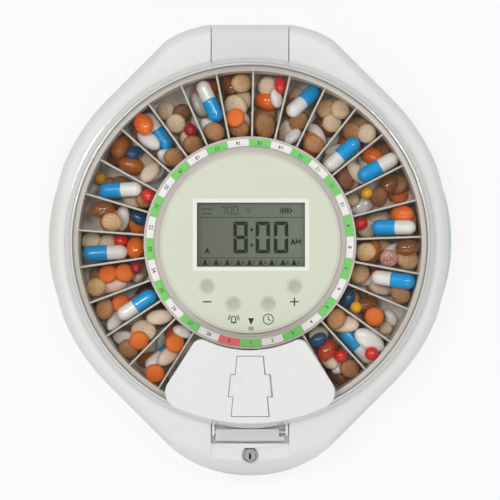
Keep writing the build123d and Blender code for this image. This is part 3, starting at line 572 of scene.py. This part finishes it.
# ---- printing and display ---------------------------------------------------------------------------
def raised(name, faces, level, finish, body, thick=INK_THICK):
    """Flat shapes, each a list of plan points in mm from the tray's axis, as thin closed plates at a level."""
    work = bmesh.new()
    for face in faces:
        ring = [work.verts.new((TRAY_AXIS.x + x * MM, TRAY_AXIS.y + y * MM, level)) for x, y in face]
        work.faces.new(ring)
    bmesh.ops.remove_doubles(work, verts=work.verts, dist=1e-6)
    bmesh.ops.recalc_face_normals(work, faces=work.faces)
    for face in work.faces:
        if face.normal.z < 0:
            face.normal_flip()
    extruded = bmesh.ops.extrude_face_region(work, geom=list(work.faces))
    for part in extruded["geom"]:
        if isinstance(part, bmesh.types.BMVert):
            part.co.z += thick
    bmesh.ops.recalc_face_normals(work, faces=work.faces)
    mesh = bpy.data.meshes.new(name)
    work.to_mesh(mesh)
    work.free()
    mesh.materials.append(finish)
    piece = link(name, mesh)
    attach(piece, body)
    return piece


def ribbon(points, width, closed=False):
    """Quads along a line of points, with mitred corners."""
    points = [Vector(point) for point in points]
    count = len(points)
    sides = []
    for n, point in enumerate(points):
        before = points[n - 1] if n or closed else point
        after = points[(n + 1) % count] if n < count - 1 or closed else point
        along = (point - before).normalized() if point != before else (after - point).normalized()
        onward = (after - point).normalized() if point != after else along
        middle = (along + onward).normalized()
        normal = Vector((-middle.y, middle.x))
        reach = width / 2 / max(0.35, middle.dot(along))
        sides.append((point + normal * reach, point - normal * reach))
    last = count if closed else count - 1
    return [[sides[n][0], sides[n][1], sides[(n + 1) % count][1], sides[(n + 1) % count][0]] for n in range(last)]


def round_points(x, y, radius, start=0.0, end=360.0, steps=32):
    return [(x + radius * math.cos(math.radians(start + (end - start) * n / steps)),
             y + radius * math.sin(math.radians(start + (end - start) * n / steps)))
            for n in range(steps + (end - start < 360))]


def bar(x0, y0, x1, y1):
    return [(x0, y0), (x1, y0), (x1, y1), (x0, y1)]


def letters(text, height, x, y, turn=0.0):
    """Triangles of a line of plain lettering, centred on a point; height is that of a capital or figure."""
    curve = bpy.data.curves.new(text, "FONT")
    curve.body, curve.align_x, curve.align_y = text, "CENTER", "CENTER"
    curve.size = height / 0.69
    curve.offset = 0.012 * curve.size
    curve.resolution_u = 3
    holder = link("lettering", curve)
    mesh = bpy.data.meshes.new_from_object(holder.evaluated_get(bpy.context.evaluated_depsgraph_get()))
    bpy.data.objects.remove(holder)
    spin = Matrix.Rotation(turn, 2)
    faces = [[Vector((x, y)) + spin @ mesh.vertices[n].co.xy for n in polygon.vertices] for polygon in mesh.polygons]
    bpy.data.meshes.remove(mesh)
    return faces


SEGMENTS = {"0": "abcdef", "1": "bc", "2": "abged", "3": "abgcd", "4": "fgbc", "5": "afgcd", "6": "afgecd",
            "7": "abc", "8": "abcdefg", "9": "abcfgd"}


def segment_digit(figure, left, low, width, height, stroke, slit):
    """Seven-segment figure: each segment a bar with mitred ends."""
    right, high, middle = left + width, low + height, low + height / 2
    s, t = slit, stroke
    upper = [(0, high - s), (0, middle + s), (t, middle + s + t / 2), (t, high - s - t)]
    lower = [(0, low + s), (t, low + s + t), (t, middle - s - t / 2), (0, middle - s)]
    shapes = {
        "a": [(left + s, high), (left + s + t, high - t), (right - s - t, high - t), (right - s, high)],
        "b": [(right - x, y) for x, y in upper], "c": [(right - x, y) for x, y in lower],
        "d": [(left + s, low), (right - s, low), (right - s - t, low + t), (left + s + t, low + t)],
        "e": [(left + x, y) for x, y in lower], "f": [(left + x, y) for x, y in upper],
        "g": [(left + s + t / 2, middle), (left + s + t, middle - t / 2), (right - s - t, middle - t / 2),
              (right - s - t / 2, middle), (right - s - t, middle + t / 2), (left + s + t, middle + t / 2)],
    }
    return [shapes[key] for key in SEGMENTS[figure]]


def print_labels():
    """Dose numbers: 1 to 28, and 0 at the home place, read from outside the ring at the front."""
    faces = []
    for number in range(COMPARTMENTS):
        turn = -math.pi / 2 + LABEL_PHASE + (number - 1) * PITCH
        x, y = LABEL_MID_R / MM * math.cos(turn), LABEL_MID_R / MM * math.sin(turn)
        faces += letters(str(number), 1.7, x, y, turn + math.pi / 2)
    raised("dose_numbers", faces, LABEL_TOP, INK_DARK, "tray")


def print_console():
    """Marks beside the keys and the pointer at the console's front edge."""
    key_y = -28.2
    minus_x, plus_x, bar_half, bar_thick = -20.4, 21.2, 2.05, 0.6
    bell_x, bell_y, clock_x, clock_y, clock_r = -7.8, -36.4, 8.7, -36.5, 2.4
    pointer_x, line = 0.5, 0.42
    half = bar_thick / 2
    faces = [bar(minus_x - bar_half, key_y - half, minus_x + bar_half, key_y + half),
             bar(plus_x - bar_half, key_y - half, plus_x + bar_half, key_y + half),
             bar(plus_x - half, key_y - bar_half, plus_x + half, key_y - half),
             bar(plus_x - half, key_y + half, plus_x + half, key_y + bar_half)]
    faces += ribbon(round_points(clock_x, clock_y, clock_r), line, closed=True)
    faces += ribbon([(clock_x, clock_y + 1.5), (clock_x, clock_y), (clock_x + 1.1, clock_y - 0.7)], line)
    bell = [(bell_x - 1.25, bell_y - 1.5), (bell_x - 0.95, bell_y - 1.0)]
    bell += round_points(bell_x, bell_y + 0.4, 0.9, 180, 0, 12)
    bell += [(bell_x + 0.95, bell_y - 1.0), (bell_x + 1.25, bell_y - 1.5)]
    faces += ribbon(bell, line, closed=True)
    faces += ribbon(round_points(bell_x, bell_y - 1.6, 0.45, 180, 360, 8), line)
    for reach in (1.85, 2.6):
        faces += ribbon(round_points(bell_x, bell_y, reach, -14, 50, 8), line * 0.8)
        faces += ribbon(round_points(bell_x, bell_y, reach, 194, 130, 8), line * 0.8)
    faces.append([(pointer_x - 1.4, -36.0), (pointer_x, -39.3), (pointer_x + 1.4, -36.0)])
    raised("console_marks", faces, OVERLAY_TOP, INK_DARK, "base")
    pointer = [bar(pointer_x + x - 0.3, -41.9, pointer_x + x + 0.3, -40.0) for x in (-0.8, 0.0, 0.8)]
    raised("console_pointer", pointer, OVERLAY_TOP, INK_SOFT, "base")


def draw_display():
    """What the display shows: the time, a small alarm time, a battery mark and the nine alarms below."""
    low, height, stroke = -5.1, 15.2, 1.75
    faces = []
    for figure, left in (("8", -7.95), ("0", 2.65), ("0", 11.4)):
        faces += segment_digit(figure, left, low, 6.9, height, stroke, 0.14)
    faces += [bar(0.15, y - 0.65, 1.45, y + 0.65) for y in (6.2, -1.1)]
    for x, y in ((19.6, -0.8), (-21.3, -5.1)):
        faces += ribbon([(x, y), (x + 0.95, y + 2.2), (x + 1.9, y)], 0.62) + [bar(x + 0.5, y + 0.5, x + 1.4, y + 0.95)]
    faces += ribbon([(22.1, -0.8), (22.1, 1.4), (23.1, 0.1), (24.1, 1.4), (24.1, -0.8)], 0.6)
    faces += [bar(-23.9, y - 0.13, 25.4, y + 0.13) for y in (12.1, -7.3)]
    for n in range(9):
        x = -21.5 + 5.32 * n
        faces.append([(x - 1.35, -10.7), (x + 1.35, -10.7), (x + 0.7, -9.5), (x + 0.35, -8.2), (x - 0.35, -8.2),
                      (x - 0.7, -9.5)])
    battery = [bar(19.6, 14.8, 20.2, 15.8)] + [bar(x, 14.5, x + 0.9, 16.1) for x in (15.1, 16.4, 17.7)]
    faces += ribbon([(14.5, 14.1), (19.4, 14.1), (19.4, 16.5), (14.5, 16.5)], 0.3, closed=True) + battery
    raised("display_figures", faces, LCD_TOP, DISPLAY_BLACK, "base")
    small = []
    for figure, left in (("7", -14.0), ("0", -10.9), ("0", -8.0)):
        small += segment_digit(figure, left, 13.4, 2.3, 3.9, 0.42, 0.05)
    small += [bar(-5.1, 13.4, -4.6, 13.9)]
    small += ribbon([(-2.1, 16.6), (-0.6, 15.2), (-2.4, 14.2)], 0.3) + ribbon([(-0.1, 17.0), (-0.1, 13.8)], 0.3)
    small += [bar(x, y, x + 0.75, y + 0.7) for x in (-22.6, -21.5, -20.4, -19.3) for y in (13.5, 15.7)]
    for n in range(9):
        small += letters(str(n + 1), 1.7, -19.3 + 5.32 * n, -9.5)
    raised("display_small_figures", small, LCD_TOP, DISPLAY_GREY, "base")


print_labels()
print_console()
draw_display()


# ---- doses --------------------------------------------------------------------------------------------
CAPSULE = (21.7, 7.4, 7.4)
DOSE_KINDS = {
    "capsule": (CAPSULE, "body_white"), "orange": ((12, 9.2, 8), "orange_coat"),
    "tangerine": ((9.4, 9.4, 4.6), "tangerine"), "beige": ((9.6, 9.6, 5), "beige"),
    "beige_big": ((12.5, 11, 5.6), "beige"), "beige_small": ((6.6, 6.6, 4), "beige"),
    "white": ((13.5, 7.6, 5.8), "white"), "white_big": ((16.5, 9.6, 7), "white"),
    "white_small": ((9.6, 6, 4.6), "white"), "white_long": ((18, 7.4, 6), "white"),
    "pink": ((13, 7.4, 5.6), "pink"), "pink_big": ((16.5, 8.6, 6.6), "pink"), "pink_long": ((18, 7.6, 6.2), "pink"),
    "amber": ((13, 8.4, 8.2), "amber"), "amber_dark": ((12, 8, 7.8), "amber_dark"),
    "amber_red": ((12, 8.4, 8), "amber_red"), "brown": ((10.4, 9, 5), "brown"), "brown_big": ((12.5, 10.5, 5.6), "brown"),
    "tan": ((10.5, 9, 5), "tan"), "tan_big": ((13, 10, 6), "tan"), "bark": ((10.5, 8.6, 5), "bark"),
    "red": ((7, 6.4, 6.2), "red"), "red_oval": ((9, 6, 5.6), "red"), "cherry": ((6.2, 6.2, 6.2), "cherry"),
    "yellow": ((5.8, 5.8, 5.8), "yellow"), "navy": ((9, 6.4, 5.4), "navy"), "speckled": ((9, 9, 4.6), "speckled"),
}
FILLERS = ["brown", "tan", "pink", "beige", "white_small", "amber_dark", "tangerine", "brown_big", "amber",
           "orange", "tan_big", "bark"]

# Top layer, by dose number: kind, mm out from the axis, mm sideways, and degrees that its length is turned from
# pointing outwards (a capsule's blue end points that way).
DOSES = {
    4: "beige 58 -1, amber_red 67 2, white 77 -1 -73, red 70 5.5, navy 62 -5, pink 71 -5, brown 76 5.5",
    5: "capsule 72 -3.6 174, pink_big 63 2, white_big 76 3.7 0, orange 54.7 -2.5 0, brown 54 2.5, red 72 6",
    6: "yellow 60 -2.4, amber_dark 66.6 2 60, tangerine 68.5 -4.5, white_small 77 0.5 -20, beige_small 76 -5, "
       "navy 53.7 -1.2, brown 55 3.3",
    7: "capsule 72.2 2.8 0, white 57.3 -2.3 -11, pink 69.3 -4.2 -5, red 64.7 -0.5, brown 77 -4.5, tan 55 4",
    8: "navy 55 2, amber 63 -1.5, speckled 70.8 -3.3, white 67.8 3 30, tan_big 77.5 -0.5, amber_dark 76 4, "
       "tan 57 -3.5",
    9: "orange 76.5 3.9 -5, pink_long 65 3 12, capsule 73 -4.2 172, beige 56.7 -2, red 54.5 2.5",
    10: "yellow 64 3.5, beige_small 54.5 1.7, white 58.5 -3 7, bark 69.5 -4.5, amber_dark 76 0",
    11: "orange 73.4 2, capsule 71.8 -4 168, beige_small 79 0, white 65 3, bark 54 -1, pink 59 0 90",
    12: "capsule 61.5 -3.4 -3, white 65 2.3 -30, beige 75 -4, beige 55 1.4, brown 75 4",
    13: "orange 56.5 1 45, brown 56 -4, white 64.5 0 68, beige 70 -3.5, beige 75 -3.5, tan 73 4",
    14: "capsule 70 -1 -36, brown 63.8 -4.5 -10, pink 58 2.4 15, white_small 55 -3 -30, bark 72 5",
    15: "beige 73.5 2, red_oval 76 -5 0, orange 66.4 1.5 90, white_small 69.7 -4.5, brown_big 56.5 -0.5",
    16: "tan 77.5 -3.4, amber_dark 75.8 3, beige_big 64 1, pink 67.6 -4.7 10, white 56 -3 -10, tangerine 57.5 2.5, "
        "brown 53.5 2",
    17: "orange 75.6 -1.5 70, capsule 64 -2 178, white 69 4 15, white 58.8 2.5 20, brown 54.8 -0.5 60",
    18: "beige 70 2.3 20, pink 59.7 3.3 -20, cherry 58.7 -3, bark 68.3 -4, brown 53.7 -0.5 50",
    19: "capsule 70.4 -3.8 172, orange 74 2.7 -20, tangerine 79 3.7, white 66.8 2 10, white 59.4 2.8 15, "
        "brown 55.5 -1.5 40",
    20: "amber 69 2.4 22, navy 70.6 -5, pink_big 62.6 -2.9, pink 56.8 0.3, white 53.7 1",
    21: "capsule 64.6 0.8 26, red 53.3 -2.7, yellow 76.3 2.5, pink 59.5 4, brown 53.8 3, bark 66 -5",
    22: "orange 66 2, tangerine 54 1, navy 54 -3.7, white 59.5 0.5 80, amber_dark 70 -4.4 10, tan 74.5 3 -10",
    23: "capsule 67.3 1.6 -9, orange 55 1, white 75.5 5 10, beige 79 -0.4, red 63 -4",
    24: "tangerine 73 -4, tangerine 65.8 -2.5, cherry 59.5 -3, pink 55 1.5 42, pink_long 68.2 3 -14, tan 76 5.5 -10",
    25: "capsule 62.4 3 187, red_oval 65.6 -2.8 0, tangerine 72.7 -5, white_long 76 2.8 39, brown 78.3 -4, "
        "amber_dark 56 -3.5",
    26: "beige_big 64.7 2, white 75 -2.5 -49, tangerine 73 5, amber 58.6 -2, pink 53.5 1, brown 79 3.3",
    27: "capsule 72.6 -2.5 168, orange 54.6 -1.7, tangerine 78 3.9, pink 70 4.4 -10, tangerine 61.5 4, "
        "white_small 56.8 3.3",
}
HIDDEN = (1, 2, 3, 28)          # filled places under the white plate; place 0 stays empty
FILL_LEVEL = 20.6 * MM          # how high the random filling comes before the top layer is laid
RIM_LEVEL = 43.7 * MM           # no dose stands higher than this
CELL = 0.7 * MM


def rounded_form(size, pointed=0.0):
    """Closed tablet or softgel of a length, width and height: flat ones get a fuller edge."""
    length, width, height = (value * MM / 2 for value in size)
    full = 0.72 if height < 0.8 * width else 1.0
    rings, turns = 14, 28
    points, faces = [(0, 0, -height)], []
    for ring in range(1, rings):
        tip = math.pi * ring / rings
        out = math.sin(tip) ** full
        up = -math.copysign(abs(math.cos(tip)) ** full, math.cos(tip))
        points += [(length * out * math.cos(math.tau * n / turns), width * out * math.sin(math.tau * n / turns),
                    height * up) for n in range(turns)]
    points.append((0, 0, height))
    top = len(points) - 1
    for n in range(turns):
        after = (n + 1) % turns
        faces.append((0, 1 + after, 1 + n))
        for ring in range(rings - 2):
            low, high = 1 + ring * turns, 1 + (ring + 1) * turns
            faces.append((low + n, low + after, high + after, high + n))
        faces.append((top, 1 + (rings - 2) * turns + n, 1 + (rings - 2) * turns + after))
    return np.array(points), faces


def capsule_part(start, end, radius):
    """One shell of a capsule along X: a domed end at end, and a flat, slightly chamfered one at start."""
    sign = 1 if end > start else -1
    dome = [(end - sign * radius * (1 - math.sin(math.pi / 2 * n / 7)), radius * math.cos(math.pi / 2 * n / 7))
            for n in range(8)]
    profile = [(start, 0.0), (start, radius - 0.12), (start + sign * 0.12, radius)]
    profile += [(start + (dome[0][0] - start) * n / 8, radius) for n in range(1, 8)] + dome[:-1] + [(end, 0.0)]
    turns = 26
    points, faces, rows = [], [], []
    for x, r in profile:
        count = 1 if r == 0 else turns
        rows.append(range(len(points), len(points) + count))
        points += [(x * MM, r * MM * math.cos(math.tau * n / turns), r * MM * math.sin(math.tau * n / turns))
                   for n in range(count)]
    for low, high in zip(rows, rows[1:]):
        for n in range(turns):
            after = (n + 1) % turns
            face = [low[n % len(low)], low[after % len(low)], high[after % len(high)], high[n % len(high)]]
            face = list(dict.fromkeys(face))
            faces.append(face if sign > 0 else face[::-1])
    return np.array(points), [face[::-1] for face in faces]


def dose_form(kind):
    """Meshes of one dose by finish, lying flat with its length along X."""
    size, finish = DOSE_KINDS[kind]
    if kind != "capsule":
        return {finish: rounded_form(size)}
    half, radius = size[0] / 2, size[1] / 2
    return {"cap_blue": capsule_part(-1.0, half, radius + 0.1), "body_white": capsule_part(-0.6, -half, radius - 0.1)}


FORMS = {kind: dose_form(kind) for kind in DOSE_KINDS}


CLOUDS = {kind: np.vstack([points for points, _ in form.values()])[::2] * 0.95 for kind, form in FORMS.items()}
LEANS = [(lean, roll, twist) for lean in (0, -14, 14, -28, 28) for roll in (0, -16, 16) for twist in (0, -9, 9)]


def turned_matrix(turn, lean, roll):
    spin = Matrix.Rotation(turn, 3, "Z") @ Matrix.Rotation(lean, 3, "Y") @ Matrix.Rotation(roll, 3, "X")
    return np.array(spin)


class Pile:
    """One compartment's doses, and how high they stand on a grid of places outwards and sideways."""

    def __init__(self, number):
        self.heading = -math.pi / 2 + TRAY_PHASE + (number - 1) * PITCH
        self.corner = np.array((COMP_IN - 2 * CELL, -10 * MM))
        out = np.arange(self.corner[0] + CELL / 2, COMP_OUT + 2 * CELL, CELL)
        side = np.arange(self.corner[1] + CELL / 2, -self.corner[1], CELL)
        self.out, self.side = np.meshgrid(out, side, indexing="ij")
        radius = np.hypot(self.out, self.side)
        room = self.out * math.tan(PITCH / 2) - 0.6 * MM - np.abs(self.side)
        self.open_floor = (room > 0) & (radius > COMP_IN + 0.2 * MM) & (radius < COMP_OUT - 0.2 * MM)
        self.height = np.where(self.open_floor, TRAY_FLOOR_TOP, 1.0)
        self.laid = []

    def level(self):
        return float(self.height[self.open_floor].mean())

    def low_spot(self, dice):
        """A random place among the lowest third."""
        limit = np.quantile(self.height[self.open_floor], 0.3)
        row, column = dice.choice(np.argwhere(self.open_floor & (self.height <= limit)))
        return self.out[row, column], self.side[row, column]

    def cells(self, out, side):
        rows = np.clip((out - self.corner[0]) / CELL, 0, self.height.shape[0] - 1).astype(int)
        columns = np.clip((side - self.corner[1]) / CELL, 0, self.height.shape[1] - 1).astype(int)
        return rows, columns

    def lay(self, kind, out, side, turn, stray=4):
        """Drops a dose near a place, in the lean and nudge in which it comes to rest lowest."""
        steps = np.arange(-stray, stray + 1) * 0.8 * MM
        aside, astep = (grid.ravel() for grid in np.meshgrid(steps, steps))
        far = 0.3 * np.hypot(aside, astep)
        best = None
        for lean, roll, twist in LEANS:
            turned = turned_matrix(turn + math.radians(twist), math.radians(lean), math.radians(roll))
            spread = CLOUDS[kind] @ turned.T
            where = self.cells(spread[:, :1] + out + astep, spread[:, 1:2] + side + aside)
            heights = (self.height[where] - spread[:, 2:]).max(axis=0)
            prices = heights + far + 0.01 * MM * abs(lean)
            n = prices.argmin()
            if best is None or prices[n] < best[0]:
                best = prices[n], heights[n], (out + astep[n], side + aside[n]), turned, spread
        _, height, place, turned, spread = best
        if height + spread[:, 2].max() > RIM_LEVEL:
            return False
        where = self.cells(spread[:, 0] + place[0], spread[:, 1] + place[1])
        np.maximum.at(self.height, where, spread[:, 2] + height)
        self.laid.append((kind, turned, np.array((*place, height))))
        return True


def fill(number, capsules_last=True):
    """A random fill up to a level, then the top layer where the compartment shows."""
    dice = random.Random(RNG_SEED + number)
    pile = Pile(number)
    for _ in range(12):
        if pile.level() > FILL_LEVEL:
            break
        out, side = pile.low_spot(dice)
        pile.lay(dice.choice(FILLERS), out, side, dice.uniform(0, math.tau))
    top = [dose.split() for dose in DOSES.get(number, "").split(",") if dose]
    missed = 0
    for words in sorted(top, key=lambda words: ((words[0] == "capsule") == capsules_last, -DOSE_KINDS[words[0]][0][0])):
        kind, (out, side), turn = words[0], map(float, words[1:3]), float(words[3]) if len(words) > 3 else None
        turn = math.radians(dice.uniform(0, 360) if turn is None else turn)
        if not (pile.lay(kind, out * MM, side * MM, turn) or pile.lay(kind, out * MM, side * MM, turn, stray=9)):
            missed += kind == "capsule"
    return fill(number, False) if missed and capsules_last else pile


def lay_doses():
    batches = {finish: ([], [], 0) for finish in DOSE_FINISHES}
    for number in [*DOSES, *HIDDEN]:
        pile = fill(number)
        spin = np.array(Matrix.Rotation(pile.heading, 3, "Z"))
        for kind, turned, middle in pile.laid:
            for finish, (points, faces) in FORMS[kind].items():
                placed = (points @ turned.T + middle) @ spin.T + np.array(TRAY_AXIS)
                vertices, polygons, count = batches[finish]
                vertices.append(placed)
                polygons += [[count + n for n in face] for face in faces]
                batches[finish] = (vertices, polygons, count + len(placed))
    for finish, (vertices, polygons, count) in batches.items():
        if count:
            mesh = bpy.data.meshes.new("doses_" + finish)
            mesh.from_pydata(np.vstack(vertices).tolist(), [], polygons)
            mesh.materials.append(DOSE_FINISHES[finish])
            mesh.shade_smooth()
            mesh.set_sharp_from_angle(angle=math.radians(50))
            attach(link("doses_" + finish, mesh), "tray")


lay_doses()

# ---- camera, light and stage ----------------------------------------------------------------------
CAMERA_HEIGHT = 1.0
CAMERA_SHIFT = 3.5 * MM              # how far in front of the tray's axis the camera stands
PHOTO_WIDTH_AT = (0.24415, 0.027)    # width of the view in metres, at this height
SENSOR = 36.0


def make_camera():
    camera = bpy.data.cameras.new("top_view")
    camera.sensor_width = SENSOR
    camera.lens = SENSOR * (CAMERA_HEIGHT - PHOTO_WIDTH_AT[1]) / PHOTO_WIDTH_AT[0]
    holder = link("top_view", camera)
    holder.location = (0, TRAY_AXIS.y - CAMERA_SHIFT, CAMERA_HEIGHT)
    bpy.context.scene.camera = holder


def make_lamp(name, place, size, power):
    lamp = bpy.data.lights.new(name, "AREA")
    lamp.shape, lamp.size, lamp.energy = "DISK", size, power
    holder = link(name, lamp)
    holder.location = place
    holder.rotation_euler = (Vector((0, 0, 0.03)) - Vector(place)).to_track_quat("-Z", "Y").to_euler()


FLOOR_DROP = 0.2 * MM                # keeps the floor off the feet's faces


def make_stage():
    work = bmesh.new()
    bmesh.ops.create_grid(work, x_segments=1, y_segments=1, size=3.0, matrix=Matrix.Translation((0, 0, -FLOOR_DROP)))
    mesh = bpy.data.meshes.new("floor")
    work.to_mesh(mesh)
    work.free()
    floor = link("floor", mesh)
    f = Finish("floor_white")
    rays = f.node("LightPath")
    seen = (Value(f, rays.socket.node.outputs["Is Camera Ray"])
            + Value(f, rays.socket.node.outputs["Is Glossy Ray"])
            + Value(f, rays.socket.node.outputs["Is Transmission Ray"])).clamped()
    matt = f.node("BsdfDiffuse", None, (0.9, 0.9, 0.9, 1))
    white = f.node("Emission", None, (1, 1, 1, 1), 1.0)
    mesh.materials.append(f.surface(f.node("MixShader", None, seen * 0.8, matt, white)))


def make_world():
    world = bpy.data.worlds.new("studio")
    bpy.context.scene.world = world
    world.use_nodes = True
    world.node_tree.nodes["Background"].inputs["Color"].default_value = (1, 1, 1, 1)
    world.node_tree.nodes["Background"].inputs["Strength"].default_value = 0.375


make_camera()
make_lamp("softbox_above_left", (-0.34, 0.2, 1.65), 0.3, 5.1)
make_lamp("softbox_above_right", (0.34, 0.25, 1.65), 0.3, 3.8)
make_lamp("softbox_left", (-0.75, 0.35, 1.15), 0.7, 2.5)
make_lamp("softbox_right", (0.75, 0.45, 1.1), 0.6, 1.4)
make_lamp("softbox_front", (0.0, -0.85, 1.0), 0.8, 3.0)
make_stage()
make_world()
bpy.context.scene.view_settings.view_transform = "Standard"
